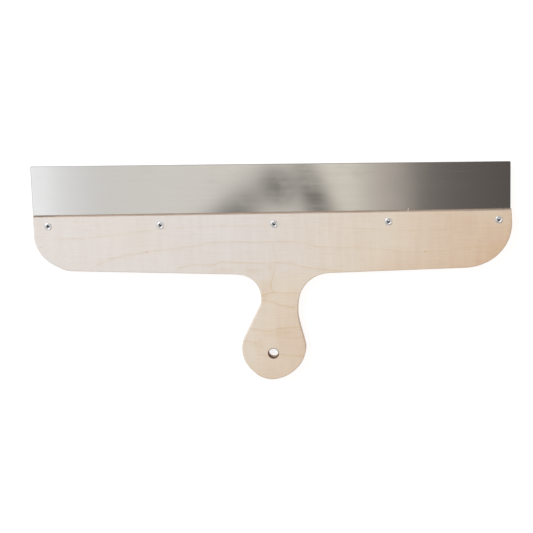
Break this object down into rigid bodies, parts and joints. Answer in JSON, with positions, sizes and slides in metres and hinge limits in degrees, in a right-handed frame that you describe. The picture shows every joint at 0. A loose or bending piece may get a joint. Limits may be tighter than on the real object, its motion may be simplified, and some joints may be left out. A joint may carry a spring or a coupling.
{
  "type": "drywall taping knife",
  "caption": "Wide taping knife: a thin spring-steel blade riveted in the sawn kerf of a T-shaped birch plywood board whose stem is the grip, with a hanging hole.",
  "frame": {"origin": "middle of the plan, on the plane that the rivets' back rims rest on", "axes": "+X along the blade, +Y towards the working edge, +Z out of the board's front face"},
  "size_m": [0.602, 0.283, 0.0142],
  "materials": {
    "face_veneer": "sanded birch veneer, thin matt lacquer",
    "long_ply": "sawn and sanded birch, grain along the blade",
    "cross_ply": "sawn and sanded birch, grain across the blade",
    "spring_steel": "bright rolled stainless spring steel",
    "rivet_metal": "bright rolled rim"
  },
  "bodies": {
    "root": {"ply_1_front_face": "face_veneer", "ply_2_crossband": "cross_ply", "ply_3_core": "long_ply", "ply_4_crossband": "cross_ply", "ply_5_core": "long_ply", "ply_6_crossband": "cross_ply", "ply_7_core": "long_ply", "ply_8_crossband": "cross_ply", "ply_9_back_face": "face_veneer", "blade": "spring_steel", "rivet_1": "rivet_metal", "rivet_2": "rivet_metal", "rivet_3": "rivet_metal", "rivet_4": "rivet_metal", "rivet_5": "rivet_metal"}
  },
  "joints": []
}
